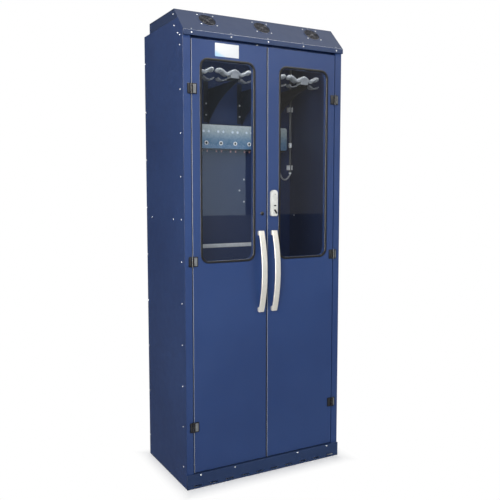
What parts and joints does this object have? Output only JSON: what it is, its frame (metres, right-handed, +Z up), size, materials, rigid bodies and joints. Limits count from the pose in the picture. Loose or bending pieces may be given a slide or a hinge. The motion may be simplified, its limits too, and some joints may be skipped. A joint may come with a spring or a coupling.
{
  "type": "instrument drying cabinet",
  "caption": "Tall steel cabinet with glazed double doors, a sloped fan hood, moulded hangers and an air manifold for drying long flexible instruments.",
  "frame": {"origin": "centre of the footprint, on the floor under the levelling feet", "axes": "+X to the right seen from the front, +Y from the doors to the back, +Z up"},
  "size_m": [0.918, 0.57, 2.345],
  "materials": {
    "blue_paint": "smooth semi-gloss blue powder coat",
    "black_paint": "matt black powder coat",
    "panel_blue": "pale blue panel, lighter at the top",
    "hose_white": "translucent white tube",
    "rubber": "matt black",
    "white_plastic": "moulded, glossy white",
    "silver_plastic": "pale silver, satin",
    "zinc_steel": "zinc plated",
    "filter_white": "matt off-white",
    "satin_steel": "satin",
    "pane": "clear, flat",
    "black_plastic": "moulded, fine texture"
  },
  "bodies": {
    "body": {"left_side_panel": "blue_paint", "right_side_panel": "blue_paint", "left_door_post": "blue_paint", "right_door_post": "blue_paint", "front_header": "blue_paint", "back_panel": "blue_paint", "ceiling_panel": "blue_paint", "floor_panel": "blue_paint", "kick_panel": "blue_paint", "door_seal": "rubber", "hood_shell": "blue_paint", "manifold_body": "black_plastic", "manifold_face": "panel_blue", "air_hose": "hose_white", "riser_tube": "silver_plastic", "tube_clip_1": "white_plastic", "tube_clip_2": "white_plastic", "air_pump": "zinc_steel", "air_filter": "filter_white", "power_inlet": "black_plastic", "drip_tray": "satin_steel", "hanger_bracket_1": "black_paint", "scope_hanger_1": "white_plastic", "hanger_bracket_2": "black_paint", "scope_hanger_2": "white_plastic", "hanger_bracket_3": "black_paint", "scope_hanger_3": "white_plastic", "hanger_bracket_4": "black_paint", "scope_hanger_4": "white_plastic", "fan_frame_1": "black_plastic", "fan_frame_2": "black_plastic", "fan_frame_3": "black_plastic", "left_hinge_frame_leaf_1": "black_plastic", "left_hinge_frame_leaf_2": "black_plastic", "left_hinge_frame_leaf_3": "black_plastic", "right_hinge_frame_leaf_1": "black_plastic", "right_hinge_frame_leaf_2": "black_plastic", "right_hinge_frame_leaf_3": "black_plastic"},
    "left_door": {"left_door_panel": "blue_paint", "left_window_pane": "pane", "left_window_gasket": "rubber", "left_handle": "satin_steel", "strike_plate": "black_plastic", "left_hinge_door_leaf_1": "black_plastic", "left_hinge_door_leaf_2": "black_plastic", "left_hinge_door_leaf_3": "black_plastic"},
    "right_door": {"right_door_panel": "blue_paint", "right_window_pane": "pane", "right_window_gasket": "rubber", "right_handle": "satin_steel", "lock_housing": "silver_plastic", "right_hinge_door_leaf_1": "black_plastic", "right_hinge_door_leaf_2": "black_plastic", "right_hinge_door_leaf_3": "black_plastic"},
    "bolt": {"top_bolt": "zinc_steel"},
    "lock": {"lock_knob": "black_plastic", "lock_cam": "zinc_steel"},
    "fan_1": {"fan_rotor_1": "black_plastic"},
    "fan_2": {"fan_rotor_2": "black_plastic"},
    "fan_3": {"fan_rotor_3": "black_plastic"}
  },
  "joints": [
    {"name": "left_door_hinge", "type": "hinge", "parent": "body", "child": "left_door", "pos_m": [-0.417, -0.2415, 1.136], "axis": [0, 0, -1], "range_deg": [0, 165]},
    {"name": "right_door_hinge", "type": "hinge", "parent": "body", "child": "right_door", "pos_m": [0.417, -0.2415, 1.136], "axis": [0, 0, 1], "range_deg": [0, 165]},
    {"name": "bolt_slide", "type": "slide", "parent": "left_door", "child": "bolt", "axis": [0, 0, 1], "range_m": [0, 0.014]},
    {"name": "lock_turn", "type": "hinge", "parent": "right_door", "child": "lock", "pos_m": [0.038, -0.2356, 1.374], "axis": [0, 1, 0], "range_deg": [0, 90]},
    {"name": "fan_1_spin", "type": "hinge", "parent": "body", "child": "fan_1", "pos_m": [-0.304, -0.17854, 2.29951], "axis": [0, -0.7224, 0.6915], "continuous": true},
    {"name": "fan_2_spin", "type": "hinge", "parent": "body", "child": "fan_2", "pos_m": [0, -0.17854, 2.29951], "axis": [0, -0.7224, 0.6915], "continuous": true},
    {"name": "fan_3_spin", "type": "hinge", "parent": "body", "child": "fan_3", "pos_m": [0.304, -0.17854, 2.29951], "axis": [0, -0.7224, 0.6915], "continuous": true}
  ]
}
